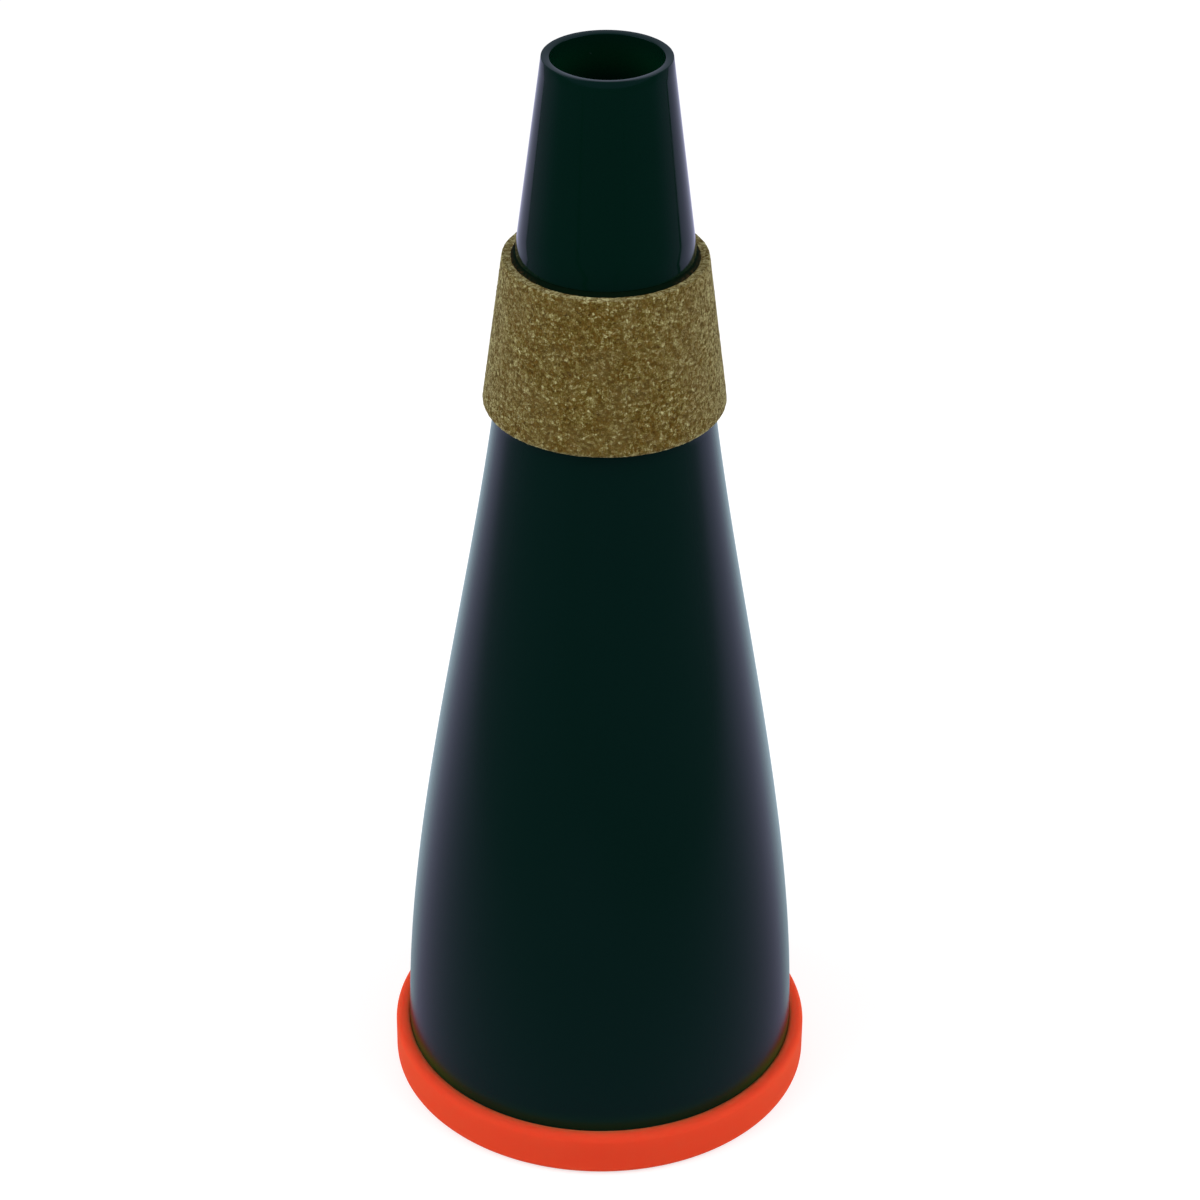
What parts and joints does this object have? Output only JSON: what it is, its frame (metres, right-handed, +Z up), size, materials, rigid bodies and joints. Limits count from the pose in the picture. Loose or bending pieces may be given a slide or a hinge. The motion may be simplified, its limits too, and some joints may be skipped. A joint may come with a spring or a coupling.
{
  "type": "trumpet practice mute",
  "caption": "Flared black practice mute with a conical cork collar near its open neck and a soft red foot ring; damped, baffled chamber inside.",
  "frame": {"origin": "centre of the foot ring's underside, on the surface that the mute stands on", "axes": "+Z up the mute's own axis, from the foot ring to the open neck; the mute is round, so X and Y are any two directions across it"},
  "size_m": [0.0676, 0.0676, 0.1776],
  "materials": {
    "gloss_black": "gloss",
    "satin_black": "satin",
    "cork": "matt, ground agglomerated cork",
    "red_silicone": "matt moulded silicone",
    "plate_black": "moulded, satin",
    "seal_rubber": "matt",
    "grommet_rubber": "matt",
    "tube_aluminium": "drawn",
    "baffle_black": "moulded, satin",
    "foam_grey": "closed-cell foam",
    "felt_grey": "pressed felt",
    "felt_charcoal": "pressed felt"
  },
  "bodies": {
    "root": {"neck_tube": "gloss_black", "body_shell": "satin_black", "cork_collar": "cork", "base_bumper": "red_silicone", "base_plate": "plate_black", "base_seal": "seal_rubber", "vent_grommet": "grommet_rubber", "vent_tube": "tube_aluminium", "baffle_disc": "baffle_black", "baffle_seal": "foam_grey", "plate_felt": "felt_grey", "wall_felt": "felt_charcoal"}
  },
  "joints": []
}
